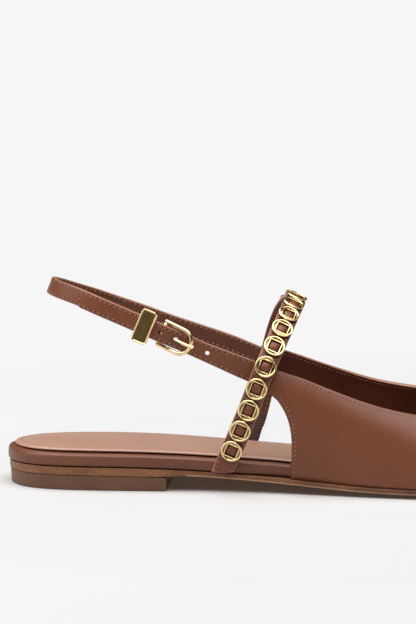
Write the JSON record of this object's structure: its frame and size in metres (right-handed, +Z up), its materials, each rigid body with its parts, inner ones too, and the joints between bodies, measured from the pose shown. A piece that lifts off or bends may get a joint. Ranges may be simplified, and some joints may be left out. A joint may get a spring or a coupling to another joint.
{
  "type": "ballet flat",
  "caption": "Slingback ballet flat for the right foot in smooth brown leather, with a low heel, a studded gold-ring strap over the instep and a small buckle on the heel strap",
  "frame": {"origin": "on the floor, under the middle of the bounding box of the empty shoe", "axes": "+X runs forward from the heel to the toe, +Y to the inner side of the foot, +Z up from the floor"},
  "size_m": [0.2638, 0.0786, 0.0817],
  "materials": {
    "upper_leather": "smooth brown calf leather with a soft sheen and a fine grain",
    "midsole_leather": "the same brown leather, wrapped tight round the midsole",
    "insole_leather": "lighter tan lining leather, softly padded, with a stitched edge",
    "sole_leather": "stained sole leather with a burnished edge",
    "elastic_band": "dark brown ribbed elastic",
    "gold_metal": "polished pale gold plating"
  },
  "bodies": {
    "root": {"outsole": "sole_leather", "heel": "sole_leather", "midsole": "midsole_leather", "insole": "insole_leather", "upper": "upper_leather", "sling_strap": "upper_leather", "tip_strap": "upper_leather", "cross_strap": "upper_leather", "elastic_gore": "elastic_band", "buckle_frame": "gold_metal", "buckle_prong": "gold_metal", "keeper": "gold_metal", "stud_01": "gold_metal", "stud_02": "gold_metal", "stud_03": "gold_metal", "stud_04": "gold_metal", "stud_05": "gold_metal", "stud_06": "gold_metal", "stud_07": "gold_metal", "stud_08": "gold_metal", "stud_09": "gold_metal", "stud_10": "gold_metal", "stud_11": "gold_metal", "stud_12": "gold_metal", "stud_13": "gold_metal", "stud_14": "gold_metal", "stud_15": "gold_metal", "stud_16": "gold_metal", "stud_17": "gold_metal"}
  },
  "joints": []
}
